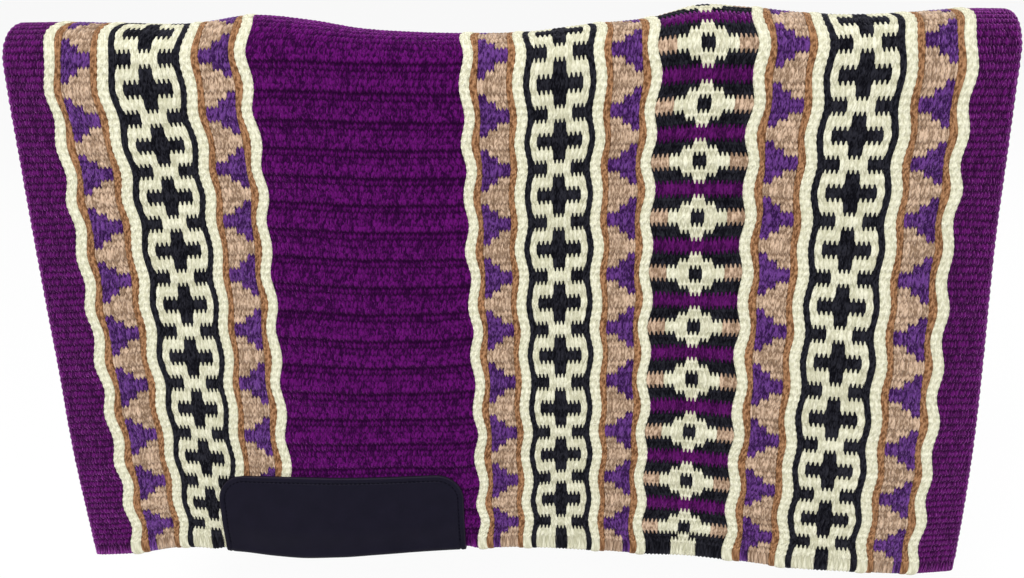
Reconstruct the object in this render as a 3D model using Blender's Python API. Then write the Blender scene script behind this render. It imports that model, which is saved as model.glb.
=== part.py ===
"""Woven wool saddle blanket hung over a rail by its fold, with a wear leather sewn round each hem.

Metres, +Z up. +X runs along the horse's spine, from the photograph's left to its right. The near flap
hangs on the -Y side and the far flap on the +Y side. The origin is the underside of the fold, halfway
along the spine.

Each piece is made flat, as it is woven or cut, in cloth coordinates: x along the spine, run from the
fold towards the near hem (negative towards the far hem), and depth down from the cloth's outer face.
drape() then lays its points over the rail, so whatever touches when flat also touches when hung.
"""

import math

import bmesh
import bpy
import numpy as np
from mathutils import Matrix, Vector

# Driving dimensions of the cloth
SPINE_LENGTH = 0.864
HEM_TO_HEM = 1.067
CLOTH_THICKNESS = 0.012
CLEARANCE = 0.0003

# Stripe widths, each a share of the spine; the side borders take what these leave, the left one its share
CREAM_LINE_WIDTH = 0.01076 * SPINE_LENGTH
BROWN_LINE_WIDTH = 0.00718 * SPINE_LENGTH
TRIANGLE_BAND_WIDTH = 0.03067 * SPINE_LENGTH
BLACK_LINE_WIDTH = 0.0066 * SPINE_LENGTH
CROSS_BAND_WIDTH = 0.06134 * SPINE_LENGTH
FIELD_WIDTH = 0.20868 * SPINE_LENGTH
DIAMOND_BAND_WIDTH = 0.09155 * SPINE_LENGTH
LEFT_BORDER_SHARE = 0.516

# How closely the weaver beat each group of stripes, as a share of the widths above
LEFT_PACKING_SHARE = 1.0
MIDDLE_PACKING_SHARE = 0.918
RIGHT_PACKING_SHARE = 1.02

# Warp cords, one layer of them hidden inside the weft
WARP_THICKNESS = 0.003
HEM_WALL = 0.005
SIDE_WALL = 0.006
HEM_ROUND = 0.0035

# How the blanket hangs
RAIL_RADIUS = 0.023
FLAP_LEAN = math.radians(4.2)
FOLD_FACETS = 6
FLAP_FACETS = 3
CROWN_RISE = 0.022
HEM_RISE = 0.019
FLAP_SWAY = 0.007

# Wear leather and its seam
LEATHER_LENGTH = 0.244
LEATHER_RISE = 0.088
LEATHER_RISE_INSIDE = 0.032
LEATHER_THICKNESS = 0.0028
LEATHER_CORNER_RADIUS = 0.027
LEATHER_FROM_FIELD_EDGE = 0.0132
SEAM_INSET = 0.0055
SEAM_END_RISE = 0.006
THREAD_DIAMETER = 0.0012
SEAM_STEP = 0.012
CORNER_FACETS = 4

OVERRUN = 0.01

GROUP_STRIPES = (
    "cream_line",
    "brown_line",
    "triangle_band",
    "brown_line",
    "cream_line",
    "black_line",
    "cross_band",
    "black_line",
    "cream_line",
    "brown_line",
    "triangle_band",
    "brown_line",
    "cream_line",
)
STRIPE_WIDTHS = {
    "cream_line": CREAM_LINE_WIDTH,
    "brown_line": BROWN_LINE_WIDTH,
    "triangle_band": TRIANGLE_BAND_WIDTH,
    "black_line": BLACK_LINE_WIDTH,
    "cross_band": CROSS_BAND_WIDTH,
}

# The stripes at whose edges the hang is set, and the parts that each is divided into there
HANG_FACETS = (
    ("left_border", 1),
    ("left_cross_band", 1),
    ("centre_field", 4),
    ("middle_cross_band", 1),
    ("diamond_band", 2),
    ("right_cross_band", 1),
    ("right_border", 1),
)

# At each of those places, stripe by stripe from left to right: shares of CROWN_RISE, HEM_RISE and FLAP_SWAY
CROWN_SHARES = (
    *(0.79, 0.77),
    *(0.66, 0.6),
    *(0.88, 0.64, 0.27, 0.09, 0),
    *(0, 0.23),
    *(0.46, 0.88, 0.76),
    *(0.44, 0.39),
    *(0.52, 0.47),
)
NEAR_HEM_SHARES = (
    *(0.2, 0.37),
    *(0.77, 0.6),
    *(0.42, 0.53, 0.66, 0.74, 0.77),
    *(0.8, 0.75),
    *(0.71, 0.74, 0.58),
    *(0.16, -0.06),
    *(-0.33, -0.22),
)
FAR_HEM_SHARES = (
    *(0.5, 0.45),
    *(0.2, 0.1),
    *(0.3, 0.5, 0.75, 0.9, 0.95),
    *(0.85, 0.6),
    *(0.4, 0.35, 0.5),
    *(0.8, 0.9),
    *(0.7, 0.6),
)
NEAR_SWAY_SHARES = (
    *(0.2, 0.4),
    *(0, 0.3),
    *(0.9, 1, 0.6, 0, -0.5),
    *(-0.8, -0.6),
    *(0, 0.3, 0.6),
    *(0.8, 0.6),
    *(0, -0.3),
)
FAR_SWAY_SHARES = (
    *(-0.2, 0),
    *(0.5, 0.8),
    *(0.6, 0.2, -0.3, -0.6, -0.5),
    *(0, 0.5),
    *(0.9, 1, 0.7),
    *(0.1, -0.4),
    *(-0.2, 0.1),
)

# Finishes: base colour, roughness
WOOL_ROUGHNESS = 0.9
PURPLE = (0.085, 0.008, 0.105)
CREAM = (0.8, 0.76, 0.6)
TAN = (0.5, 0.32, 0.22)
BROWN = (0.3, 0.14, 0.07)
BLACK = (0.012, 0.014, 0.025)
UNDYED = (0.62, 0.56, 0.45)
LEATHER_COLOUR = (0.013, 0.012, 0.02)
LEATHER_ROUGHNESS = 0.45
THREAD_COLOUR = (0.02, 0.018, 0.03)

STRIPE_COLOURS = {
    "border": PURPLE,
    "centre_field": PURPLE,
    "cream_line": CREAM,
    "brown_line": BROWN,
    "triangle_band": TAN,
    "black_line": BLACK,
    "cross_band": CREAM,
    "diamond_band": CREAM,
}


def lay_out_stripes():
    """{name: (kind, left edge, right edge)} of every stripe, from the photograph's left to its right."""
    packing = {"left": LEFT_PACKING_SHARE, "middle": MIDDLE_PACKING_SHARE, "right": RIGHT_PACKING_SHARE}

    def group(side):
        counts = dict.fromkeys(STRIPE_WIDTHS, 0)
        for kind in GROUP_STRIPES:
            counts[kind] += 1
            number = "" if GROUP_STRIPES.count(kind) == 1 else f"_{counts[kind]}"
            yield f"{side}_{kind}{number}", kind, STRIPE_WIDTHS[kind] * packing[side]

    inner = [*group("left"), ("centre_field", "centre_field", FIELD_WIDTH), *group("middle")]
    inner += [("diamond_band", "diamond_band", DIAMOND_BAND_WIDTH), *group("right")]
    borders = SPINE_LENGTH - sum(width for _, _, width in inner)
    left_border = ("left_border", "border", LEFT_BORDER_SHARE * borders)
    right_border = ("right_border", "border", (1 - LEFT_BORDER_SHARE) * borders)
    stripes = {}
    at = -SPINE_LENGTH / 2
    for name, kind, width in [left_border, *inner, right_border]:
        stripes[name] = (kind, at, at + width)
        at += width
    return stripes


STRIPES = lay_out_stripes()


def hang_places():
    """The places along the spine where the hang is set."""
    places = []
    for name, parts in HANG_FACETS:
        _, left, right = STRIPES[name]
        places += [left + (right - left) * k / parts for k in range(parts + 1)]
    return places


HANG_PLACES = hang_places()
DROP = HEM_TO_HEM / 2
OUTER_RADIUS = RAIL_RADIUS + CLOTH_THICKNESS
FOLD_TURN = math.pi / 2 - FLAP_LEAN
FOLD_RUN = OUTER_RADIUS * FOLD_TURN

# Runs from the fold at which every piece has an edge, so that all bend in the same places
HALF_FOLD_FACETS = FOLD_FACETS // 2
RUN_PLACES = [FOLD_RUN * k / HALF_FOLD_FACETS for k in range(HALF_FOLD_FACETS)]
RUN_PLACES += [FOLD_RUN + (DROP - FOLD_RUN) * k / FLAP_FACETS for k in range(FLAP_FACETS)]

LEATHER_RIGHT = STRIPES["centre_field"][2] - LEATHER_FROM_FIELD_EDGE
LEATHER_LEFT = LEATHER_RIGHT - LEATHER_LENGTH
STRIPE_EDGES = [left for _, left, _ in STRIPES.values()] + [SPINE_LENGTH / 2]
COLUMN_PLACES = sorted({round(x, 6) for x in [*STRIPE_EDGES, *HANG_PLACES]})


def hem_weight(run):
    """0 at the fold and 1 at the hem: how far a point follows the hem's rise and sway."""
    places = np.array([*RUN_PLACES, DROP])
    share = places / DROP
    return np.interp(run, places, share * share * (3 - 2 * share))


def drape(points):
    """World points for cloth points, as rows of x, run and depth."""
    x, run, depth = np.asarray(points, float).T
    near = run >= 0
    run = np.abs(run)
    angle = np.minimum(run / OUTER_RADIUS, FOLD_TURN)
    straight = np.maximum(run - FOLD_RUN, 0)
    radius = OUTER_RADIUS - depth
    out = radius * np.sin(angle) + straight * math.sin(FLAP_LEAN)
    up = radius * np.cos(angle) - straight * math.cos(FLAP_LEAN) - RAIL_RADIUS

    crown = CROWN_RISE * np.interp(x, HANG_PLACES, CROWN_SHARES)
    near_hem = np.interp(x, HANG_PLACES, NEAR_HEM_SHARES)
    far_hem = np.interp(x, HANG_PLACES, FAR_HEM_SHARES)
    near_sway = np.interp(x, HANG_PLACES, NEAR_SWAY_SHARES)
    far_sway = np.interp(x, HANG_PLACES, FAR_SWAY_SHARES)
    hem = HEM_RISE * np.where(near, near_hem, far_hem)
    sway = FLAP_SWAY * np.where(near, near_sway, far_sway)

    weight = hem_weight(run)
    up += crown * (1 - weight) + hem * weight
    out += sway * weight
    return np.stack([x, np.where(near, -out, out), up], axis=1)


def collection(name, hidden=False):
    made = bpy.data.collections.new(name)
    made.hide_render = hidden
    bpy.context.scene.collection.children.link(made)
    return made


def finish_material(name, colour, roughness=WOOL_ROUGHNESS):
    material = bpy.data.materials.new(name)
    material.use_nodes = True
    shader = material.node_tree.nodes["Principled BSDF"]
    shader.inputs["Base Color"].default_value = (*colour, 1)
    shader.inputs["Roughness"].default_value = roughness
    shader.inputs["Metallic"].default_value = 0
    material.diffuse_color = (*colour, 1)
    return material


def box(name, x, run, depth, into):
    """A box in cloth coordinates, each side given as (least, most)."""
    corners = np.array([x, run, depth])
    centre, size = corners.mean(axis=1), np.ptp(corners, axis=1)
    bm = bmesh.new()
    bmesh.ops.create_cube(bm, size=1)
    bmesh.ops.scale(bm, vec=Vector(size), verts=bm.verts)
    bmesh.ops.translate(bm, vec=Vector(centre), verts=bm.verts)
    mesh = bpy.data.meshes.new(name)
    bm.to_mesh(mesh)
    bm.free()
    piece = bpy.data.objects.new(name, mesh)
    into.objects.link(piece)
    return piece


def cut(piece, *cutters):
    """Subtracts each cutter, and leaves the result as the piece's own mesh."""
    for cutter in cutters:
        cutter.hide_render = True
        cutter.display_type = "WIRE"
        boolean = piece.modifiers.new(cutter.name, "BOOLEAN")
        boolean.operation = "DIFFERENCE"
        boolean.solver = "EXACT"
        boolean.object = cutter
    evaluated = piece.evaluated_get(bpy.context.evaluated_depsgraph_get())
    solid = bpy.data.meshes.new_from_object(evaluated)
    piece.modifiers.clear()
    piece.data = solid


def round_edges(piece, width, segments, chosen):
    """Bevels the edges that chosen(first point, second point) picks."""
    bm = bmesh.new()
    bm.from_mesh(piece.data)
    edges = [e for e in bm.edges if chosen(e.verts[0].co, e.verts[1].co)]
    bmesh.ops.bevel(bm, geom=edges, offset=width, segments=segments, profile=0.5, affect="EDGES")
    bm.to_mesh(piece.data)
    bm.free()


def split_at(bm, axis, places):
    """Cuts edges right round the mesh where a cloth coordinate has each of these values."""
    normal = Vector([float(k == axis) for k in range(3)])
    values = [v.co[axis] for v in bm.verts]
    low, high = min(values) + CLEARANCE, max(values) - CLEARANCE
    for place in places:
        if low < place < high:
            geometry = [*bm.verts, *bm.edges, *bm.faces]
            bmesh.ops.bisect_plane(bm, geom=geometry, plane_co=normal * place, plane_no=normal)


def hang(piece, material):
    """Gives a flat piece the edges that it bends at, lays it over the rail and finishes it."""
    bm = bmesh.new()
    bm.from_mesh(piece.data)
    split_at(bm, 0, COLUMN_PLACES)
    split_at(bm, 1, [*RUN_PLACES, *(-run for run in RUN_PLACES[1:])])
    hung = drape([v.co for v in bm.verts])
    for vertex, place in zip(bm.verts, hung):
        vertex.co = place
    bmesh.ops.triangulate(bm, faces=bm.faces, quad_method="SHORT_EDGE")
    bmesh.ops.recalc_face_normals(bm, faces=bm.faces)
    bm.to_mesh(piece.data)
    bm.free()
    piece.data.materials.clear()
    piece.data.materials.append(material)
    piece.data.shade_smooth()
    piece.data.set_sharp_from_angle(angle=math.radians(40))


def warp_depths(clearance):
    """The least and most depth of the warp layer, with this much room on each side."""
    half = WARP_THICKNESS / 2 + clearance
    return CLOTH_THICKNESS / 2 - half, CLOTH_THICKNESS / 2 + half


def weave_stripe(name, blanket, cutters):
    """One stripe's weft: a flat sleeve from hem to hem, with the warp's slot through it."""
    kind, left, right = STRIPES[name]
    at_left_side = name == "left_border"
    at_right_side = name == "right_border"
    gap = CLEARANCE / 2
    x = (left + (0 if at_left_side else gap), right - (0 if at_right_side else gap))
    stripe = box(name, x, (-DROP, DROP), (0, CLOTH_THICKNESS), blanket)

    def hem_edge(a, b):
        return abs(a.x - b.x) > CLEARANCE and abs(a.y) > DROP - CLEARANCE

    def side_edge(a, b):
        return abs(a.y - b.y) > CLEARANCE and abs(a.x) > SPINE_LENGTH / 2 - CLEARANCE

    round_edges(stripe, HEM_ROUND, 1, lambda a, b: hem_edge(a, b) or side_edge(a, b))
    slot_x = (
        left + SIDE_WALL if at_left_side else left - OVERRUN,
        right - SIDE_WALL if at_right_side else right + OVERRUN,
    )
    reach = DROP - HEM_WALL
    slot = box(f"{name}_slot", slot_x, (-reach, reach), warp_depths(CLEARANCE), cutters)
    cut(stripe, slot)
    hang(stripe, finish_material(name, STRIPE_COLOURS[kind]))


def lay_warp(blanket):
    """The hidden warp cords as one layer, running the length of the spine inside every stripe."""
    side = SPINE_LENGTH / 2 - SIDE_WALL - CLEARANCE
    reach = DROP - HEM_WALL - CLEARANCE
    warp = box("warp_cords", (-side, side), (-reach, reach), warp_depths(0), blanket)
    hang(warp, finish_material("warp_cords", UNDYED))


def mirror_run(piece):
    """Turns a piece made for the near hem into the far hem's, while it is flat."""
    piece.data.transform(Matrix.Scale(-1, 4, Vector((0, 1, 0))))
    piece.data.flip_normals()


def sew_leather(name, far, blanket, cutters):
    """A strip of leather wrapped under the hem: a tall leg outside, a short one inside."""
    skin = CLEARANCE + LEATHER_THICKNESS
    under = DROP + skin
    x = (LEATHER_LEFT, LEATHER_RIGHT)
    leather = box(name, x, (DROP - LEATHER_RISE, under), (-skin, CLOTH_THICKNESS + skin), blanket)

    def bottom_edge(a, b):
        return min(a.y, b.y) > under - CLEARANCE and abs(a.x - b.x) > CLEARANCE

    round_edges(leather, HEM_ROUND + CLEARANCE, 1, bottom_edge)
    past = (LEATHER_LEFT - OVERRUN, LEATHER_RIGHT + OVERRUN)
    above = DROP - LEATHER_RISE - OVERRUN
    cloth = (-CLEARANCE, CLOTH_THICKNESS + CLEARANCE)
    cloth_room = box(f"{name}_cloth_room", past, (above, DROP + CLEARANCE), cloth, cutters)
    inside = (CLOTH_THICKNESS / 2, CLOTH_THICKNESS + skin + OVERRUN)
    above_short_leg = box(f"{name}_trim", past, (above, DROP - LEATHER_RISE_INSIDE), inside, cutters)
    cut(leather, cloth_room, above_short_leg)

    def top_corner(a, b):
        through = abs(a.z - b.z) > CLEARANCE and abs(a.y - b.y) < CLEARANCE
        outside = max(a.z, b.z) < 0
        return through and outside and max(a.y, b.y) < DROP - LEATHER_RISE + CLEARANCE

    round_edges(leather, LEATHER_CORNER_RADIUS, CORNER_FACETS, top_corner)
    if far:
        mirror_run(leather)
    hang(leather, finish_material(name, LEATHER_COLOUR, LEATHER_ROUGHNESS))


def seam_path():
    """The seam's (x, run) points: up the left side, across the top and down the right side."""
    left, right = LEATHER_LEFT + SEAM_INSET, LEATHER_RIGHT - SEAM_INSET
    top, bottom = DROP - LEATHER_RISE + SEAM_INSET, DROP - SEAM_END_RISE
    radius = LEATHER_CORNER_RADIUS - SEAM_INSET

    def straight(start, end):
        steps = max(1, round(math.dist(start, end) / SEAM_STEP))
        for k in range(steps):
            yield tuple(a + (b - a) * k / steps for a, b in zip(start, end))

    def corner(x, start):
        for k in range(CORNER_FACETS):
            turn = start + math.pi / 2 * k / CORNER_FACETS
            yield x - radius * math.cos(turn), top + radius - radius * math.sin(turn)

    yield from straight((left, bottom), (left, top + radius))
    yield from corner(left + radius, 0)
    yield from straight((left + radius, top), (right - radius, top))
    yield from corner(right - radius, math.pi / 2)
    yield from straight((right, top + radius), (right, bottom))
    yield right, bottom


def sew_seam(name, far, blanket):
    """The thread that holds a wear leather, lying on its outer leg just inside the edge."""
    depth = -(2 * CLEARANCE + LEATHER_THICKNESS + THREAD_DIAMETER / 2)
    side = -1 if far else 1
    points = drape([(x, side * run, depth) for x, run in seam_path()])
    curve = bpy.data.curves.new(name, "CURVE")
    curve.dimensions = "3D"
    curve.bevel_depth = THREAD_DIAMETER / 2
    curve.bevel_resolution = 1
    curve.use_fill_caps = True
    thread = curve.splines.new("POLY")
    thread.points.add(len(points) - 1)
    for at, place in zip(thread.points, points):
        at.co = (*place, 1)
    piece = bpy.data.objects.new(name, curve)
    blanket.objects.link(piece)
    piece.data.materials.append(finish_material(name, THREAD_COLOUR))


def build():
    for old in list(bpy.data.objects):
        bpy.data.objects.remove(old, do_unlink=True)
    blanket = collection("saddle_blanket")
    cutters = collection("cutters", hidden=True)
    for name in STRIPES:
        weave_stripe(name, blanket, cutters)
    lay_warp(blanket)
    for side in ("near", "far"):
        sew_leather(f"{side}_wear_leather", side == "far", blanket, cutters)
        sew_seam(f"{side}_seam_thread", side == "far", blanket)


build()
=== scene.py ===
"""The woven saddle blanket as it looks: every weft stitch, the wear leathers and their seams.

Metres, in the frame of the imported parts. A place on the cloth is counted in columns of stitches along the
spine and in ribs down the cloth, from the first side tab on the near flap. place() lays stitches over the
rail in the same hanging shape as the parts, without their facets.
"""

import math

import bpy
import numpy as np
from mathutils import Matrix, Vector


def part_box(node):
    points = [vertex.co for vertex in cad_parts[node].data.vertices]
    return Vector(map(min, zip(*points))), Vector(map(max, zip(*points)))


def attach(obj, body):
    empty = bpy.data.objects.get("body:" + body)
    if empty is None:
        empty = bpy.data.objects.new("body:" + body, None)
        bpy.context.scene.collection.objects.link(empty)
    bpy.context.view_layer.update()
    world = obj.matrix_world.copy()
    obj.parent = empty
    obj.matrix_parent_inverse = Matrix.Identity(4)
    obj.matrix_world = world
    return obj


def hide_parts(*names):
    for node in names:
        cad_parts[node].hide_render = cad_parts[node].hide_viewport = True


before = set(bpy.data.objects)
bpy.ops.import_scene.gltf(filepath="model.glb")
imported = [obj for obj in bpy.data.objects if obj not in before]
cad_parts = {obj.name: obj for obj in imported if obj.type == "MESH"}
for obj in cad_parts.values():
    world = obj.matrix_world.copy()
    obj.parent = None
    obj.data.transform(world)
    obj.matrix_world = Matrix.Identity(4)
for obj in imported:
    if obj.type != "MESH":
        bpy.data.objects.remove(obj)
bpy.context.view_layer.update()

# The cloth and how it hangs, as in the parts
HEM_TO_HEM = 1.067
THICKNESS = 0.012
RAIL_RADIUS = 0.023
FLAP_LEAN = math.radians(4.2)
CROWN_RISE = 0.022
HEM_RISE = 0.019
FLAP_SWAY = 0.007

HALF = THICKNESS / 2
DROP = HEM_TO_HEM / 2
FLAT_DROP = DROP - HALF
LAST_ALONG = FLAT_DROP + HALF * math.pi / 2
MIDDLE_RADIUS = RAIL_RADIUS + HALF
OUTER_RADIUS = RAIL_RADIUS + THICKNESS
FOLD_TURN = math.pi / 2 - FLAP_LEAN
FOLD_RUN = OUTER_RADIUS * FOLD_TURN

HANG_FACETS = {
    "left_border": 1,
    "left_cross_band": 1,
    "centre_field": 4,
    "middle_cross_band": 1,
    "diamond_band": 2,
    "right_cross_band": 1,
    "right_border": 1,
}
# At each facet edge of those stripes: shares of the crown's rise, the hems' rise and the flaps' sway
CROWN = (
    *(0.79, 0.77, 0.66, 0.6, 0.88, 0.64, 0.27, 0.09, 0),
    *(0, 0.23, 0.46, 0.88, 0.76, 0.44, 0.39, 0.52, 0.47),
)
NEAR_HEM = (
    *(0.2, 0.37, 0.77, 0.6, 0.42, 0.53, 0.66, 0.74, 0.77),
    *(0.8, 0.75, 0.71, 0.74, 0.58, 0.16, -0.06, -0.33, -0.22),
)
FAR_HEM = (
    *(0.5, 0.45, 0.2, 0.1, 0.3, 0.5, 0.75, 0.9, 0.95),
    *(0.85, 0.6, 0.4, 0.35, 0.5, 0.8, 0.9, 0.7, 0.6),
)
NEAR_SWAY = (
    *(0.2, 0.4, 0, 0.3, 0.9, 1, 0.6, 0, -0.5),
    *(-0.8, -0.6, 0, 0.3, 0.6, 0.8, 0.6, 0, -0.3),
)
FAR_SWAY = (
    *(-0.2, 0, 0.5, 0.8, 0.6, 0.2, -0.3, -0.6, -0.5),
    *(0, 0.5, 0.9, 1, 0.7, 0.1, -0.4, -0.2, 0.1),
)

# A motif repeats every 8 ribs, and the first side tab on the near flap is this far from the fold's crown
MOTIF = 0.0507
MOTIF_RIBS = 8
RIB = MOTIF / MOTIF_RIBS
TAB_AT = 0.041
# The last rib of each flap is one long stitch round the hem, in the colours of the rib before it. The ribs
# just before it are eased to meet it
NEAR_LAST_RIB = 75
FAR_LAST_RIB = -91
HEM_STITCH = 0.0185
PAST_HEM = 0.005
EASED_RIBS = 8

# The second purple is the same yarn made paler and greyer: painted haze of grazing light, for the borders
# and the diamond band's bars
YARNS = ("purple", "purple_painted_haze", "violet", "cream", "tan", "brown", "black")
PURPLE, PURPLE_PAINTED_HAZE, VIOLET, CREAM, TAN, BROWN, BLACK = range(len(YARNS))

# A stitch from its middle to its end, each row (ribs from the middle, half its width, share of its crown)
SHORT_ENDS = ((0.4, 0.5, 0.55), (0.6, 0, 0))
BLUNT_ENDS = ((0.34, 0.5, 0.7), (0.66, 0, 0))
FINGER_ENDS = ((0.16, 0.5, 0.9), (0.28, 0.32, 0.75), (0.72, 0.18, 0.25), (0.84, 0, 0))
STUB_ENDS = ((0.28, 0.5, 0.85), (0.39, 0.34, 0.7), (0.61, 0.16, 0.3), (0.72, 0, 0))
# How each kind of stripe is woven: stitches across, the stitch's ends, its heights over the cloth's face
# at the crown, the sides and the tips, the rise of the soft ridges that run along the spine, and how much
# painted shade its low places get
WEAVES = {
    "border": (26, SHORT_ENDS, 0.0005, 0.0004, -0.0006, 0, 1.5),
    "centre_field": (48, BLUNT_ENDS, 0.0005, 0.0001, -0.0003, 0.0006, 1),
    "triangle_band": (7, STUB_ENDS, 0.0006, 0.0001, -0.0005, 0.0002, 1),
    "cross_band": (13, FINGER_ENDS, 0.0006, 0.0001, -0.0005, 0.0002, 1),
    "diamond_band": (21, FINGER_ENDS, 0.0006, 0.0001, -0.0005, 0.0002, 1),
}
# The course through a diamond's eye, written as the courses below are
EYE_COURSE = (
    (TAN, 0, 4, -1, 1, 0),
    (CREAM, 4, 9, -1, 1, 0),
    (BLACK, 9, 12, -1, 1, 0),
    (CREAM, 12, 17, -1, 1, 0),
    (TAN, 17, 21, -1, 1, 0),
)
# How many ribs a stripe's pattern repeats after, and its courses of stitches, in columns from its left edge
# and in ribs from a side tab: yarn, left, right, first rib, last rib, and how far along its stitches start
PATTERNS = {
    # The borders are in the purple with painted haze of grazing light
    "border": (2, ((PURPLE_PAINTED_HAZE, 0, 26, 0, 1, 0), (PURPLE_PAINTED_HAZE, 0, 26, 1, 2, 0.5))),
    "centre_field": (2, ((PURPLE, 0, 48, 0, 1, 0), (PURPLE, 0, 48, 1, 2, 0.5))),
    "triangle_band": (
        MOTIF_RIBS,
        (
            (VIOLET, 0, 7, -1, 1, 0),
            (VIOLET, 0, 4, 1, 2, 0.5),
            (TAN, 4, 7, 1, 2, 0.5),
            (VIOLET, 0, 2, 2, 3, 0),
            (TAN, 2, 7, 2, 3, 0),
            (TAN, 0, 7, 3, 5, 0.5),
            (VIOLET, 0, 2, 5, 6, 0),
            (TAN, 2, 7, 5, 6, 0),
            (VIOLET, 0, 4, 6, 7, 0.5),
            (TAN, 4, 7, 6, 7, 0.5),
        ),
    ),
    "cross_band": (
        MOTIF_RIBS,
        (
            (BLACK, 0, 3.5, -1, 1, 0.5),
            (CREAM, 3.5, 9.5, -1, 1, 0.5),
            (BLACK, 9.5, 13, -1, 1, 0.5),
            (CREAM, 0, 5, 1, 3, 0),
            (BLACK, 5, 8, 1, 3, 0),
            (CREAM, 8, 13, 1, 3, 0),
            (CREAM, 0, 1.5, 3, 5, 0.5),
            (BLACK, 1.5, 11.5, 3, 5, 0.5),
            (CREAM, 11.5, 13, 3, 5, 0.5),
            (CREAM, 0, 5, 5, 7, 0),
            (BLACK, 5, 8, 5, 7, 0),
            (CREAM, 8, 13, 5, 7, 0),
        ),
    ),
    "diamond_band": (
        MOTIF_RIBS,
        (
            *EYE_COURSE,
            (BLACK, 0, 6.5, 1, 2, 0.5),
            (CREAM, 6.5, 14.5, 1, 2, 0.5),
            (BLACK, 14.5, 21, 1, 2, 0.5),
            (BLACK, 0, 9, 2, 3, 0),
            (CREAM, 9, 12, 2, 3, 0),
            (BLACK, 12, 21, 2, 3, 0),
            (PURPLE_PAINTED_HAZE, 0, 21, 3, 5, 0.5),
            (BLACK, 0, 9, 5, 6, 0),
            (CREAM, 9, 12, 5, 6, 0),
            (BLACK, 12, 21, 5, 6, 0),
            (BLACK, 0, 6.5, 6, 7, 0.5),
            (CREAM, 6.5, 14.5, 6, 7, 0.5),
            (BLACK, 14.5, 21, 6, 7, 0.5),
        ),
    ),
}
# Below its last tab on the near flap the diamond band turns back instead: first a cap, then a waist
TURNED_KIND = "diamond_band"
TURNED_FROM = 72
TURNED = (
    *EYE_COURSE,
    (BLACK, 0, 9, 1, 2, 0.5),
    (CREAM, 9, 12, 1, 2, 0.5),
    (BLACK, 12, 21, 1, 2, 0.5),
    (BLACK, 0, 7, 2, 3, 0),
    (CREAM, 7, 14, 2, 3, 0),
    (BLACK, 14, 21, 2, 3, 0),
)
# The lines are rovings laid along the cloth: their yarn, crown height, how much each rib swells them
# and how wide they lap over their neighbours
LINES = {
    "cream_line": (CREAM, 0.0009, 0.0005, 0.0006),
    "brown_line": (BROWN, 0.0003, 0.0003, 0.0002),
    "black_line": (BLACK, 0.0004, 0.0002, 0.0002),
}
LINE_EDGE = -0.0004
# How much the lap follows the swelling, and how much painted shade a line's sides and the places between
# ribs get
LAP_SWING = 0.8
LINE_SIDE_SHADE = 1.1
LINE_RIB_SHADE = 0.35
# A line's points across, in shares of its width, and along each rib
LINE_ACROSS = np.array([-0.5, -0.42, -0.28, -0.1, 0.1, 0.28, 0.42, 0.5])
LINE_STEPS = 5
# A ridge is four ribs wide and leans over the valley below it: its heights, in ribs from the valley above
RIDGE_RIBS = 4
RIDGE_FROM = 1
RIDGE_AT = (0, 0.2, 0.5, 1.2, 2, 2.8, 3.3, 3.6, 4)
RIDGE_HEIGHTS = (-0.95, -0.8, -0.5, -0.3, 0, 0.35, 0.5, 0.2, -0.95)
# Over the fold the cloth is stretched smooth: the ridges start between these distances from its crown
RIDGES_START = (0.02, 0.045)
SLOTS = {
    "border": "purple_wool",
    "centre_field": "purple_wool",
    "cream_line": "cream_wool",
    "brown_line": "brown_wool",
    "black_line": "black_wool",
    "triangle_band": "triangle_wool",
    "cross_band": "cross_wool",
    "diamond_band": "diamond_wool",
}
# The middle of what runs from 0 to 1, such as a stitch's tone, a noise or a mix of two colours
MIDDLE = 0.5
# Each stitch has a tone of its own, which also lifts its crown within this height
TONE_HEIGHT = 0.00025
# The painted shade grows from nothing at a stitch's crown to its stripe's shade at the tips, and lower
# down to at most this many times that
DEEPEST_PAINTED_SHADE = 2
# At the hem the inner face's stitches end this far under the outer face's, which go round it
TUCKED = 0.0003
# About how wide a stitch is, which sets the scale of its texture
STITCH_WIDTH = 0.004

# The ribs follow only this share of the crown's rise. On the upper part of the near flap they lie a little
# higher than evenly and on the lower part lower, which changes between these distances from the crown. All
# of that fades over the last stretch before the hem
CROWN_FOLLOWED = 0.33
TOP_SLIP = -0.006
LOW_SLIP = 0.0065
SLIP_CHANGE = (0.17, 0.41)
SLIP_FADES = 5 * HEM_STITCH
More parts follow.
